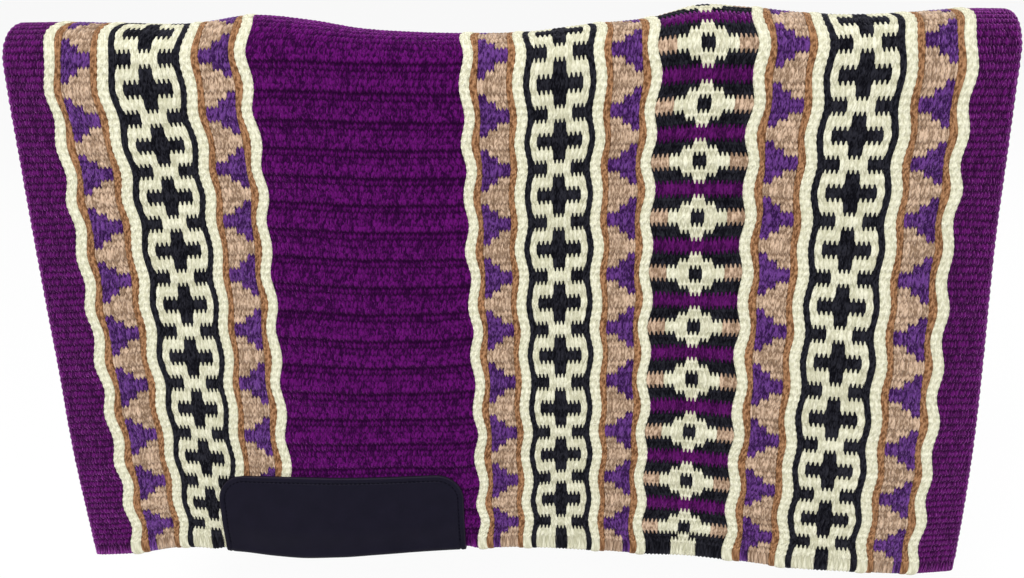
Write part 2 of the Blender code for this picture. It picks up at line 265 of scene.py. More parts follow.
# Where the weave is pulled out of true: the place, how far that reaches and by how much, all (x, run)
PULLS = (
    ((0.24, 0.04), (0.2, 0.1), (0.0045, 0)),
    ((0.09, 0.05), (0.12, 0.1), (0.0024, 0)),
    ((-0.3, 0.04), (0.17, 0.1), (-0.0045, 0)),
    ((-0.32, 0.25), (0.13, 0.2), (0.0028, 0)),
    ((-0.24, 0.39), (0.09, 0.12), (-0.002, 0)),
    ((-0.42, 0.2), (0.12, 0.3), (-0.005, 0.0035)),
    ((-0.355, 0.55), (0.1, 0.3), (0.0075, 0)),
    ((0.17, 0.55), (0.15, 0.2), (-0.003, 0)),
    ((0.42, 0.4), (0.12, 0.22), (0.006, 0)),
    ((-0.33, 0.09), (0.09, 0.08), (0, 0.0035)),
    ((-0.3, 0.49), (0.08, 0.08), (0, 0.0035)),
    ((-0.22, 0.3), (0.1, 0.22), (0, -0.0035)),
    ((-0.03, 0.45), (0.1, 0.13), (0, 0.0055)),
    ((0.13, 0.36), (0.07, 0.25), (0, -0.003)),
    ((0.27, 0.33), (0.22, 0.3), (0, -0.0048)),
    ((0.39, 0.03), (0.14, 0.07), (0, -0.004)),
    ((0.05, 0.33), (0.13, 0.3), (0, -0.0034)),
    ((0.04, 0.02), (0.1, 0.06), (0, -0.0022)),
    ((-0.26, 0.2), (0.08, 0.1), (0, -0.0018)),
    ((0, 0.4), (0.08, 0.25), (0.0014, 0)),
    ((0.36, 0.26), (0.09, 0.15), (-0.0018, 0)),
    ((-0.34, 0.22), (0.12, 0.1), (0.0015, 0)),
    ((-0.43, 0.42), (0.06, 0.12), (-0.003, 0)),
    ((-0.36, 0.07), (0.08, 0.05), (-0.0025, 0)),
    ((0.172, 0.24), (0.04, 0.1), (0, 0.0035)),
    ((0.39, 0.19), (0.08, 0.08), (0, -0.003)),
    ((-0.34, 0.5), (0.1, 0.06), (0, 0.002)),
    ((-0.22, 0.16), (0.06, 0.08), (0.0018, 0)),
    ((0.02, 0.12), (0.06, 0.1), (0.0016, 0)),
    ((0.14, 0.54), (0.05, 0.08), (0.0018, 0)),
    ((0.17, 0.03), (0.28, 0.05), (0, -0.0014)),
    ((0.01, 0.08), (0.13, 0.05), (0, 0.0017)),
    ((0.125, 0.16), (0.06, 0.07), (0, -0.0018)),
    ((-0.02, 0.31), (0.05, 0.08), (0, -0.0018)),
    ((-0.015, 0.42), (0.04, 0.08), (0, -0.0024)),
    ((0.055, 0.37), (0.045, 0.05), (0, 0.002)),
    ((0.09, 0.47), (0.1, 0.07), (0, -0.0028)),
    ((-0.25, 0.31), (0.07, 0.12), (0, -0.0013)),
    ((0.3, 0.3), (0.09, 0.08), (0, -0.0012)),
)

# Stripe edges bow away from their group's cross at its bars and back at its tabs, from the cross outwards
GROUPS = ("left", "middle", "right")
BOWS = (0.0017, 0.0016, 0.0015, 0.0009, 0.0008, 0.002, 0.002)

# Handwork wavers: waves by their share of the height and of the longest wave's length, each drawn longer or
# shorter within a spread. Edges and hides waver by a seed, a reach and their longest wave
WAVES = ((0.5, 1), (0.3, 0.6), (0.2, 0.35))
WAVE_SPREAD = (0.7, 1.3)
EDGE_WAVER = (3, 0.0009, 0.12)
HIDE_WAVER = (11, 0.0004, 0.09)


def stripes_of(nodes):
    """[(node, kind, left edge, right edge)] of the stripes, from left to right."""
    found = []
    for name in nodes:
        kind = next((k for k in SLOTS if k in name), None)
        if kind:
            low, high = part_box(name)
            found.append((name, kind, low.x, high.x))
    return sorted(found, key=lambda stripe: stripe[2])


STRIPES = stripes_of(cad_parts)
NAMES = [name for name, *_ in STRIPES]
EDGES = np.array([left for _, _, left, _ in STRIPES] + [STRIPES[-1][3]])
COUNTS = np.array([WEAVES[kind][0] if kind in WEAVES else 1 for _, kind, _, _ in STRIPES])
# Columns count from the left border's inner edge, and each border's run on round its side
FIRST_COLUMNS = np.concatenate([[0], np.cumsum(COUNTS[1:-1])])
LEFT_FLAT = EDGES[1] - EDGES[0] - HALF
RIGHT_FLAT = EDGES[-1] - EDGES[-2] - HALF


def line_bows():
    """How far each stripe edge bows along the spine at its group's cross bars."""
    bows = np.zeros(len(EDGES))
    for group in GROUPS:
        cross = NAMES.index(f"{group}_cross_band")
        for k, bow in enumerate(BOWS):
            bows[cross - k] = -bow
            bows[cross + 1 + k] = bow
    return bows


def hang_places():
    """Where along the spine the facets of the parts meet."""
    places = []
    for name, facets in HANG_FACETS.items():
        _, _, left, right = STRIPES[NAMES.index(name)]
        places += list(np.linspace(left, right, facets + 1))
    return np.array(places)


# A wear leather folded round a hem squeezes the cloth there, and less so beside its ends
SQUEEZE = 0.45
SQUEEZE_RISE = 0.03
SQUEEZE_FADE = 0.014
LEATHER_ENDS = tuple(corner.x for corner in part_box("near_wear_leather"))

EDGE_BOWS = line_bows()
HANG_PLACES = hang_places()


def smooth_between(x, places, values):
    """A smooth curve through the values, read at x."""
    values = np.array(values, float)
    slopes = np.gradient(values, places)
    x = np.clip(x, places[0], places[-1])
    k = np.clip(np.searchsorted(places, x, side="right") - 1, 0, len(places) - 2)
    width = places[k + 1] - places[k]
    t = (x - places[k]) / width
    start = (1 + 2 * t) * (1 - t) ** 2 * values[k] + t * (1 - t) ** 2 * width * slopes[k]
    end = t * t * (3 - 2 * t) * values[k + 1] + t * t * (t - 1) * width * slopes[k + 1]
    return start + end


def drape(x, run, height):
    """World points of the hanging cloth. Run is negative on the far flap, and height is from mid-cloth."""
    near = run >= 0
    run = np.abs(run)
    angle = np.minimum(run / OUTER_RADIUS, FOLD_TURN)
    straight = np.maximum(run - FOLD_RUN, 0)
    radius = MIDDLE_RADIUS + height
    out = radius * np.sin(angle) + straight * math.sin(FLAP_LEAN)
    up = radius * np.cos(angle) - straight * math.cos(FLAP_LEAN) - RAIL_RADIUS

    def shares(values):
        return smooth_between(x, HANG_PLACES, values)

    share = np.minimum(run / DROP, 1)
    weight = share * share * (3 - 2 * share)
    hem = HEM_RISE * np.where(near, shares(NEAR_HEM), shares(FAR_HEM))
    sway = FLAP_SWAY * np.where(near, shares(NEAR_SWAY), shares(FAR_SWAY))
    up = up + CROWN_RISE * shares(CROWN) * (1 - weight) + hem * weight
    out = out + sway * weight
    return np.stack([x, np.where(near, -out, out), up], axis=-1)


def wander(x, along, seed, reach, longest):
    """The small smooth waviness of handwork, within about -reach and reach."""
    draw = np.random.default_rng(seed)
    total = np.zeros(np.broadcast(x, along).shape)
    for share, size in WAVES:
        wave_x, wave_along = 2 * math.pi / (longest * size * draw.uniform(*WAVE_SPREAD, 2))
        turn_x, turn_along = draw.uniform(0, 2 * math.pi, 2)
        total += share * np.sin(wave_x * x + turn_x) * np.sin(wave_along * along + turn_along)
    return reach * total


def line_place(edge, along):
    """Where stripe edges lie along the spine, at these distances from the fold's crown."""
    straight = EDGES[edge]
    bow = EDGE_BOWS[edge]
    wave = -np.cos(2 * math.pi * (along - TAB_AT) / MOTIF)
    handmade = wander(straight, along, *EDGE_WAVER)
    return straight + bow * wave + np.where(bow == 0, 0, handmade)


def rib_place(rib):
    """Distance from the fold's crown of a place counted in ribs, with the long stitch at each hem."""
    even = (FAR_LAST_RIB + EASED_RIBS, NEAR_LAST_RIB - EASED_RIBS)
    end = LAST_ALONG + PAST_HEM
    before_end = LAST_ALONG - HEM_STITCH
    return np.interp(
        rib,
        (FAR_LAST_RIB, FAR_LAST_RIB + 1, *even, NEAR_LAST_RIB, NEAR_LAST_RIB + 1),
        (-end, -before_end, *(TAB_AT + RIB * r for r in even), before_end, end),
    )


def smooth_step(value, start, end):
    """From 0 at the start to 1 at the end, eased at both."""
    share = np.clip((value - start) / (end - start), 0, 1)
    return share * share * (3 - 2 * share)


def slip(x, along):
    """How far the weave lies from its even layout, along the spine and down the cloth."""
    run = np.abs(along)
    before_hem = 1 - smooth_step(run, DROP - SLIP_FADES, LAST_ALONG)
    followed = np.maximum(1 - smooth_step(run, 0, DROP) - CROWN_FOLLOWED, 0)
    down = CROWN_RISE * smooth_between(x, HANG_PLACES, CROWN) * followed
    down = down + TOP_SLIP + (LOW_SLIP - TOP_SLIP) * smooth_step(along, *SLIP_CHANGE)
    across = 0
    for centre, reach, shift in PULLS:
        far = ((x - centre[0]) / reach[0]) ** 2
        deep = ((along - centre[1]) / reach[1]) ** 2
        share = np.maximum(1 - far, 0) ** 2 * np.maximum(1 - deep, 0) ** 2
        across = across + shift[0] * share
        down = down + shift[1] * share
    return across, down * before_hem * np.where(along < 0, 1 - run / LAST_ALONG, 1)


def squeezed(x, run):
    """The share of the cloth's thickness that a wear leather, folded tightly round the hem, leaves."""
    left, right = LEATHER_ENDS
    beside = smooth_step(x, left - SQUEEZE_FADE, left) * (1 - smooth_step(x, right, right + SQUEEZE_FADE))
    return 1 - SQUEEZE * beside * smooth_step(run, FLAT_DROP - SQUEEZE_RISE, FLAT_DROP)


def place(column, rib, height, face):
    """World points of stitches: face is 1 outside and -1 inside. A border's columns turn the side."""
    even = rib_place(rib)
    edge = np.clip(np.searchsorted(FIRST_COLUMNS, column, side="right"), 1, len(FIRST_COLUMNS) - 1)
    first = FIRST_COLUMNS[edge - 1]
    share = (column - first) / (FIRST_COLUMNS[edge] - first)
    inside_x = (1 - share) * line_place(edge, even) + share * line_place(edge + 1, even)

    at_right = column > FIRST_COLUMNS[-1]
    outer_flat = np.where(at_right, RIGHT_FLAT, LEFT_FLAT)
    past = np.where(at_right, column - FIRST_COLUMNS[-1], np.maximum(-column, 0))
    past = past * (2 * outer_flat + math.pi * HALF) / COUNTS[0]
    turn = np.clip((past - outer_flat) / HALF, 0, math.pi)
    flat = (np.minimum(past, outer_flat) - np.maximum(past - outer_flat - math.pi * HALF, 0)) / outer_flat
    left_x = (1 - flat) * line_place(1, even) + flat * (EDGES[0] + HALF)
    right_x = (1 - flat) * line_place(len(STRIPES) - 1, even) + flat * (EDGES[-1] - HALF)
    x = np.where(at_right, right_x, np.where(column < 0, left_x, inside_x))

    across, down = slip(x, even)
    x = x + across
    along = even + down
    run = np.abs(along)
    hem_turn = np.clip((run - FLAT_DROP) / HALF, 0, math.pi)
    inner_end = (face < 0) & (hem_turn > math.pi / 2)
    hem_turn = np.where(inner_end, math.pi / 2, hem_turn)
    thick = HALF + np.where(inner_end, np.minimum(height, -TUCKED), height)
    thick = thick * squeezed(x, run)
    run = np.minimum(run, FLAT_DROP) + thick * np.sin(hem_turn)
    side = thick * np.sin(turn) * np.cos(hem_turn)
    x = x + np.where(at_right, side, -side)
    up = face * thick * np.cos(turn) * np.cos(hem_turn)
    return drape(x, np.where(along < 0, -run, run), up)


def stitch_template(ends, crown, side, tip):
    """One stitch in columns, ribs and height, and its faces: a ridge over a rib, pointed at both ends."""
    *rows, (point, _, _) = ends
    below = [(at, half, kept * crown + (1 - kept) * tip, tip) for at, half, kept in rows]
    above = [(-at, *row) for at, *row in reversed(below)]
    points = [(0, -point, tip)]
    for at, half, middle, edge in (*above, (0, 0.5, crown, side), *below):
        points += [(-half, at, edge), (0, at, middle), (half, at, edge)]
    last = len(points)
    points.append((0, point, tip))
    faces = [(0, 1, 2), (0, 2, 3)]
    for first in range(1, last - 3, 3):
        faces += [(first, first + 3, first + 4, first + 1), (first + 1, first + 4, first + 5, first + 2)]
    faces += [(last - 3, last, last - 2), (last - 2, last, last - 1)]
    return np.array(points), faces


def grid_quads(rows, columns):
    """The quads of a grid of points, row by row."""
    row, column = np.indices((rows - 1, columns - 1)).reshape(2, -1)
    start = row * columns + column
    return np.stack([start, start + columns, start + columns + 1, start + 1], axis=-1)


def mesh_piece(name, points, corners, sizes, slots=None, maps=(), values=()):
    """A smooth mesh from arrays: all faces' corners end to end, and each face's size and slot."""
    mesh = bpy.data.meshes.new(name)
    mesh.vertices.add(len(points))
    mesh.vertices.foreach_set("co", np.ascontiguousarray(points, np.float32).ravel())
    mesh.loops.add(len(corners))
    mesh.loops.foreach_set("vertex_index", np.ascontiguousarray(corners, np.int32))
    mesh.polygons.add(len(sizes))
    starts = np.concatenate([[0], np.cumsum(sizes)[:-1]])
    mesh.polygons.foreach_set("loop_start", np.ascontiguousarray(starts, np.int32))
    if slots is not None:
        mesh.polygons.foreach_set("material_index", np.ascontiguousarray(slots, np.int32))
    for map_name, uv in maps:
        layer = mesh.uv_layers.new(name=map_name)
        layer.data.foreach_set("uv", np.ascontiguousarray(uv[corners], np.float32).ravel())
    for value_name, value in values:
        attribute = mesh.attributes.new(value_name, "FLOAT", "POINT")
        attribute.data.foreach_set("value", np.ascontiguousarray(value, np.float32))
    mesh.update(calc_edges=True)
    mesh.shade_smooth()
    piece = bpy.data.objects.new(name, mesh)
    bpy.context.scene.collection.objects.link(piece)
    return piece


def courses_of(kind):
    """Every course of a stripe on both flaps: yarn, left, right, first rib, last rib and its half step."""
    repeat, pattern = PATTERNS[kind]
    found = []
    for shift in range(FAR_LAST_RIB - FAR_LAST_RIB % repeat - repeat, NEAR_LAST_RIB + repeat, repeat):
        turned = kind == TURNED_KIND and shift == TURNED_FROM
        for yarn, left, right, start, end, half in TURNED if turned else pattern:
            low = max(start + shift, FAR_LAST_RIB + 1)
            high = min(end + shift, NEAR_LAST_RIB)
            if low < high:
                found.append((yarn, left, right, low, high, half))
            if low == FAR_LAST_RIB + 1 < high:
                found.append((yarn, left, right, FAR_LAST_RIB, low, 0.5 - half))
            if low < high == NEAR_LAST_RIB:
                found.append((yarn, left, right, high, NEAR_LAST_RIB + 1, 0.5 - half))
    return found


def stitches_of(kind, mirrored):
    """Every stitch of a stripe, in rows: yarn, left and right edge in columns, first and last rib."""
    count = WEAVES[kind][0]
    found = []
    for yarn, left, right, low, high, half in courses_of(kind):
        edges = [left, *(at + half for at in range(count) if left < at + half < right), right]
        if mirrored:
            edges = [count - edge for edge in reversed(edges)]
        found += [(yarn, start, end, low, high) for start, end in zip(edges, edges[1:])]
    return np.array(found, float)


def ridge_share(rib):
    """The height of the soft ridges that run along the spine, in shares of a stripe's own rise."""
    share = np.interp((rib - RIDGE_FROM) % RIDGE_RIBS, RIDGE_AT, RIDGE_HEIGHTS)
    return share * smooth_step(np.abs(rib_place(rib)), *RIDGES_START)


def weave(name, kind, index):
    """One stripe, stitch by stitch on both faces, and round the side edge for a border."""
    count, ends, crown, side, tip, ridge, shade = WEAVES[kind]
    template, faces = stitch_template(ends, crown, side, tip)
    first = -count if index == 0 else FIRST_COLUMNS[index - 1]
    stitches = stitches_of(kind, name.endswith("_band_2"))
    face = np.ones(len(stitches))
    if kind != "border":
        stitches = np.repeat(stitches, 2, axis=0)
        face = np.tile([1.0, -1.0], len(face))
    yarn, left, right, low, high = stitches.T
    tone = np.random.default_rng(index).random(len(stitches))

    in_stitch = (right - left)[:, None] * template[:, 0]
    at_column = first + ((left + right) / 2)[:, None] + in_stitch
    from_middle = template[:, 1] + np.sign(template[:, 1]) * ((high - low - 1) / 2)[:, None]
    at_rib = ((low + high) / 2)[:, None] + from_middle
    raised = (template[:, 0] == 0) & (np.abs(template[:, 1]) < ends[-1][0])
    height = template[:, 2] + np.where(raised, TONE_HEIGHT, 0) * (tone[:, None] - MIDDLE)
    height = height + ridge * ridge_share(at_rib)
    # Painted shade: each stitch's low places are darkened in colour, carried to its yarn as the 'deep'
    # attribute
    deep = shade * np.clip((crown - height) / (crown - tip), 0, DEEPEST_PAINTED_SHADE)
    points = place(at_column, at_rib, height, np.broadcast_to(face[:, None], height.shape))

    used = sorted(set(yarn.tolist()))
    outward = np.concatenate(faces)
    inward = np.concatenate([f[::-1] for f in faces])
    corners = np.where(face[:, None] > 0, outward, inward) + np.arange(len(face))[:, None] * len(template)
    piece = mesh_piece(
        f"{name}_weave",
        points.reshape(-1, 3),
        corners.ravel(),
        np.tile([len(f) for f in faces], len(face)),
        np.repeat(np.searchsorted(used, yarn), len(faces)),
        maps=(
            ("Stitch", np.stack([in_stitch, from_middle], axis=-1).reshape(-1, 2)),
            ("Cloth", np.stack([at_column * STITCH_WIDTH, rib_place(at_rib)], axis=-1).reshape(-1, 2)),
        ),
        values=(("tone", np.repeat(tone, len(template))), ("deep", deep.ravel())),
    )
    return piece, [int(y) for y in used]


def lay_line(name, kind, index):
    """One narrow line: a soft roving that swells over each rib, on both faces."""
    yarn, crown, swell, lap = LINES[kind]
    steps = (NEAR_LAST_RIB + 1 - FAR_LAST_RIB) * LINE_STEPS
    ribs = np.linspace(FAR_LAST_RIB, NEAR_LAST_RIB + 1, steps + 1)
    rib, across = np.meshgrid(ribs, LINE_ACROSS, indexing="ij")
    width = EDGES[index + 1] - EDGES[index]
    between = np.cos(2 * math.pi * rib)
    over = lap / width * (1 - LAP_SWING * between)
    arch = np.sqrt(np.maximum(1 - (2 * across) ** 2, 0))
    height = LINE_EDGE + (crown - swell * between - LINE_EDGE) * arch
    parts = []
    for face in (1, -1):
        at = FIRST_COLUMNS[index - 1] + 0.5 + across * (1 + 2 * over)
        parts.append(place(at, rib, height, np.full(rib.shape, face)))
    points = np.stack(parts)
    quads = grid_quads(*rib.shape)
    quads = np.concatenate([quads, quads[:, ::-1] + rib.size])
    tone = np.full(points.shape[:3], MIDDLE)
    # Painted shade on the line's sides and between its ribs, carried to its yarn as the 'deep' attribute
    shaded = LINE_SIDE_SHADE * (1 - arch) + LINE_RIB_SHADE * between
    deep = np.broadcast_to(np.clip(shaded, 0, 1), tone.shape)
    u = np.broadcast_to(across * width / STITCH_WIDTH, tone.shape)
    down = np.broadcast_to(rib_place(rib), u.shape)
    return mesh_piece(
        f"{name}_roving",
        points.reshape(-1, 3),
        quads.ravel(),
        np.full(len(quads), 4),
        maps=(
            ("Stitch", np.stack([u, np.broadcast_to(rib, u.shape)], axis=-1).reshape(-1, 2)),
            ("Cloth", np.stack([u * STITCH_WIDTH + EDGES[index], down], axis=-1).reshape(-1, 2)),
        ),
        values=(("tone", tone.ravel()), ("deep", deep.ravel())),
    ), [yarn]


# The wear leathers, in flat strips that are wrapped round the hems
LEATHER_RISE = 0.088
LEATHER_RISE_INSIDE = 0.032
LEATHER_THICKNESS = 0.0028
LEATHER_CORNER = 0.027
LEATHER_END_CORNER = 0.004
LEATHER_OFF = 0.0003

WRAP_RADIUS = HALF * (1 - SQUEEZE) + LEATHER_OFF + LEATHER_THICKNESS / 2
OUTER_LEG = FLAT_DROP - DROP + LEATHER_RISE
INNER_LEG = FLAT_DROP - DROP + LEATHER_RISE_INSIDE
LEATHER_STRIP = OUTER_LEG + math.pi * WRAP_RADIUS + INNER_LEG
# A leather's rounded edge, and in from it a raised crease and the seam's groove: height, place and width
SEAM_INSET = 0.0055
EDGE_ROUND = 0.0011
CREASE = (0.0002, 0.0031, 0.0007)
GROOVE = (-0.0007, SEAM_INSET, 0.0007)
# The hide's waves grow from nothing at its edge to all their height at this distance in
WAVES_GROW = 0.01
# How far in from the edge its rows and columns of points lie, before they are evenly spaced
MILLIMETRE = 0.001
EDGE_STEPS = MILLIMETRE * np.array(
    [
        *(0, 0.05, 0.15, 0.35, 0.65, 1.1, 1.7, 2.3, 2.7, 3.1, 3.5),
        *(3.9, 4.4, 4.8, 5.1, 5.3, 5.5, 5.7, 5.9, 6.2, 6.6, 7.2),
    ]
)
GRID_STEP = 0.0016


def leather_place(x, down, lift, flap, ends):
    """World points on a wear leather: down from its straight top edge, round the hem, and lift outwards."""
    hem = NEAR_HEM if flap > 0 else FAR_HEM
    straight = np.interp(x, ends, smooth_between(np.array(ends), HANG_PLACES, hem))
    sag = HEM_RISE * (smooth_between(x, HANG_PLACES, hem) - straight)
    turn = np.clip((down - OUTER_LEG) / WRAP_RADIUS, 0, math.pi)
    back = np.maximum(down - OUTER_LEG - math.pi * WRAP_RADIUS, 0)
    above_hem = np.maximum(OUTER_LEG - down, 0)
    run = FLAT_DROP - above_hem * (1 - sag / OUTER_LEG) - back
    thick = HALF * squeezed(x, run) + LEATHER_OFF + lift
    run = run + thick * np.sin(turn)
    return drape(x, flap * run, thick * np.cos(turn))


def edge_distance(x, down, width):
    """How far a flat point of the leather, measured from its middle and top, is in from the edge."""
    radius = np.where(down < LEATHER_STRIP / 2, LEATHER_CORNER, LEATHER_END_CORNER)
    past_x = np.abs(x) - width / 2 + radius
    past_y = np.abs(down - LEATHER_STRIP / 2) - LEATHER_STRIP / 2 + radius
    corner = np.hypot(np.maximum(past_x, 0), np.maximum(past_y, 0))
    return radius - corner - np.minimum(np.maximum(past_x, past_y), 0)


def leather_lift(inset):
    """The leather's surface above its underside: a rounded edge, a creased line and the seam's groove."""
    over = np.clip(1 - inset / EDGE_ROUND, 0, 1)
    lift = LEATHER_THICKNESS - EDGE_ROUND * (1 - np.sqrt(1 - over * over))
    for height, at, width in (CREASE, GROOVE):
        lift = lift + height * np.exp(-(((inset - at) / width) ** 2))
    return lift


def edge_to_edge(length):
    """Places from one edge to the other, close together near both."""
    last = EDGE_STEPS[-1]
    even = np.linspace(last, length - last, round((length - 2 * last) / GRID_STEP))
    return np.concatenate([EDGE_STEPS, even[1:-1], length - EDGE_STEPS[::-1]])


def flat_leather(width):
    """A grid of points on the flat leather, from its middle and its top, and how far in they are."""
    down, across = np.meshgrid(edge_to_edge(LEATHER_STRIP), edge_to_edge(width) - width / 2, indexing="ij")
    radius = np.where(down < LEATHER_STRIP / 2, LEATHER_CORNER, LEATHER_END_CORNER)
    from_end = radius - np.minimum(np.minimum(down, LEATHER_STRIP - down), radius)
    narrower = radius - np.sqrt(radius**2 - from_end**2)
    near_side = np.clip((np.abs(across) - width / 2) / (2 * LEATHER_CORNER) + 1, 0, 1)
    x = across - np.sign(across) * narrower * near_side
    return x, down, np.maximum(edge_distance(x, down, width), 0)


def closed_quads(rows, columns):
    """The quads of two like grids of points, back to back, and of the wall round their edge."""
    quads = grid_quads(rows, columns)
    count = rows * columns
    grid = np.arange(count).reshape(rows, columns)
    rim = np.concatenate([grid[0, :-1], grid[:-1, -1], grid[-1, :0:-1], grid[:0:-1, 0]])
    after = np.roll(rim, -1)
    wall = np.stack([rim, after, after + count, rim + count], axis=-1)
    return np.concatenate([quads, quads[:, ::-1] + count, wall])


def sew_on_leather(name, flap):
    """One wear leather, its outside and underside joined round the edge."""
    low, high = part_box(name)
    middle = (low.x + high.x) / 2
    ends = (low.x, high.x)
    x, down, inset = flat_leather(high.x - low.x)
    waves = wander(x, down, *HIDE_WAVER) * np.clip(inset / WAVES_GROW, 0, 1)
    outside = leather_place(x + middle, down, leather_lift(inset) + waves, flap, ends)
    underside = leather_place(x + middle, down, np.zeros(x.shape), flap, ends)
    quads = closed_quads(*x.shape)
    if flap < 0:
        quads = quads[:, ::-1]
    flat = np.tile(np.stack([x, down], axis=-1).reshape(-1, 2), (2, 1))
    return mesh_piece(
        f"{name}_hide",
        np.concatenate([outside.reshape(-1, 3), underside.reshape(-1, 3)]),
        quads.ravel(),
        np.full(len(quads), 4),
        maps=(("Cloth", flat),),
        values=(("inset", np.concatenate([inset.ravel(), np.zeros(inset.size)])),),
    )


# The seam's stitches: each is a short thread whose middle line arches over the groove, from this far under
# the leather's face, and whose radius follows the arch, to a power, down to its tips
STITCH_PITCH = 0.0044
STITCH_LENGTH = 0.0035
THREAD_RADIUS = 0.00055
THREAD_SUNK = 0.001
THREAD_ARCH = 0.0007
THREAD_TIP = 0.02
THREAD_POWER = 0.4
THREAD_SIDES = 8
THREAD_SECTIONS = 9
SEAM_END_RISE = 0.006
SEAM_CORNER_STEPS = 24


def seam_path(width):
    """The seam's flat path up one side of the leather, along its top and down the other."""
    radius = LEATHER_CORNER - SEAM_INSET
    side = width / 2 - SEAM_INSET
    lowest = OUTER_LEG - SEAM_END_RISE
    turns = np.linspace(0, math.pi / 2, SEAM_CORNER_STEPS)
    x = side - radius + radius * np.cos(turns)
    down = LEATHER_CORNER - radius * np.sin(turns)
    right = np.concatenate([[(side, lowest)], np.stack([x, down], axis=-1)])
    return np.concatenate([right, (right * (-1, 1))[::-1]])


def sew_seam(name, leather_name, flap):
    """The seam's stitches, each a short thread that dips into the groove at both ends."""
    low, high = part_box(leather_name)
    path = seam_path(high.x - low.x)
    lengths = np.concatenate([[0], np.cumsum(np.linalg.norm(np.diff(path, axis=0), axis=1))])
    starts = np.arange(0, lengths[-1] - STITCH_LENGTH, STITCH_PITCH)
    share = np.linspace(0, 1, THREAD_SECTIONS)
    at = starts[:, None] + share * STITCH_LENGTH
    x = np.interp(at, lengths, path[:, 0])
    down = np.interp(at, lengths, path[:, 1])
    ahead = np.stack([np.gradient(x, axis=1), np.gradient(down, axis=1)], axis=-1)
    ahead /= np.linalg.norm(ahead, axis=-1, keepdims=True)
    arch = np.sin(math.pi * share)
    radius = THREAD_RADIUS * np.maximum(arch, THREAD_TIP) ** THREAD_POWER
    middle = LEATHER_THICKNESS - THREAD_SUNK + THREAD_ARCH * arch
    turn = 2 * math.pi * np.arange(THREAD_SIDES) / THREAD_SIDES
    across = radius[:, None] * np.cos(turn)
    lift = np.broadcast_to(middle[:, None] + radius[:, None] * np.sin(turn), (len(starts), *across.shape))
    points = leather_place(
        x[..., None] - ahead[..., 1, None] * across + (low.x + high.x) / 2,
        down[..., None] + ahead[..., 0, None] * across,
        lift,
        flap,
        (low.x, high.x),
    )
    counts = (len(starts), THREAD_SECTIONS - 1, THREAD_SIDES)
    stitch, section, side = (grid.ravel() for grid in np.indices(counts))
    first = (stitch * THREAD_SECTIONS + section) * THREAD_SIDES
    start = first + side
    after = first + (side + 1) % THREAD_SIDES
    quads = np.stack([start, after, after + THREAD_SIDES, start + THREAD_SIDES], axis=-1)
    if flap > 0:
        quads = quads[:, ::-1]
    return mesh_piece(f"{name}_stitches", points.reshape(-1, 3), quads.ravel(), np.full(len(quads), 4))


class Nodes:
    """Adds shader nodes to a new material and joins them."""

    def __init__(self, name):
        self.material = bpy.data.materials.new(name)
        self.material.use_nodes = True
        self.tree = self.material.node_tree
        self.shader = self.tree.nodes["Principled BSDF"]

    def add(self, kind, *inputs, output=0, **settings):
        node = self.tree.nodes.new(kind)
        for key, value in settings.items():
            setattr(node, key, value)
        for socket, value in zip(node.inputs, inputs):
            self.feed(socket, value)
        return node.outputs[output]

    def feed(self, socket, value):
        if isinstance(value, bpy.types.NodeSocket):
            self.tree.links.new(value, socket)
        elif value is not None:
            socket.default_value = value

    def math(self, operation, *inputs):
        return self.add("ShaderNodeMath", *inputs, operation=operation)

    def mix(self, share, a, b):
        node = self.tree.nodes.new("ShaderNodeMix")
        node.data_type = "RGBA"
        colours = [s for s in node.inputs if s.type == "RGBA"]
        self.feed(node.inputs["Factor"], share)
        self.feed(colours[0], (*a, 1) if isinstance(a, tuple) else a)
        self.feed(colours[1], (*b, 1) if isinstance(b, tuple) else b)
        return next(s for s in node.outputs if s.type == "RGBA")

    def noise(self, vector, scale, detail, rough):
        node = self.tree.nodes.new("ShaderNodeTexNoise")
        self.feed(node.inputs["Vector"], vector)
        node.inputs["Scale"].default_value = scale
        node.inputs["Detail"].default_value = detail
        node.inputs["Roughness"].default_value = rough
        return node.outputs[0]

    def surface(self, colour, roughness, specular):
        self.feed(self.shader.inputs["Base Color"], colour)
        self.shader.inputs["Roughness"].default_value = roughness
        self.shader.inputs["Specular IOR Level"].default_value = specular

    def bump(self, height, strength, distance):
        node = self.tree.nodes.new("ShaderNodeBump")
        node.inputs["Strength"].default_value = strength
        node.inputs["Distance"].default_value = distance
        self.feed(node.inputs["Height"], height)
        self.feed(self.shader.inputs["Normal"], node.outputs[0])


# Wool: the noise within a stitch, as its scales across and along the stitch and an offset of its own
STRANDS = (1.9, 1.2, 0.0)
FLECKS = (3.4, 1.9, 17.0)
FIBRES = (9.0, 3.0, 31.0)
STRAND_LEAN = 0.35
TONES_APART = 60.0
# Every noise has a scale, a detail and a roughness
STITCH_NOISE = (1.0, 1, 0.5)
CLOTH_NOISE = (14.0, 3, 0.55)
# How much the noises and a stitch's tone change the colour, and count in the relief beside the strands
FLECKS_SHARE = 0.8
FIBRES_SHARE = 0.4
TONE_SHARE = 0.6
CLOTH_SHARE = 0.5
FLECKS_RELIEF = 0.6
FIBRES_RELIEF = 0.4
# Every relief has a strength and a depth, and every surface a roughness and a specular level
WOOL_RELIEF = (1.0, 0.0016)
WOOL_SURFACE = (0.95, 0.03)
# Painted shade in low places: its share, by the square of the 'deep' attribute, and the most it darkens
VALLEY_SHADE = 0.6
DARKEST_PAINTED_SHADE = 0.9
SHEEN_ROUGHNESS = 0.35
SHEEN_PALER = 0.5
SHEEN_GAIN = 1.7
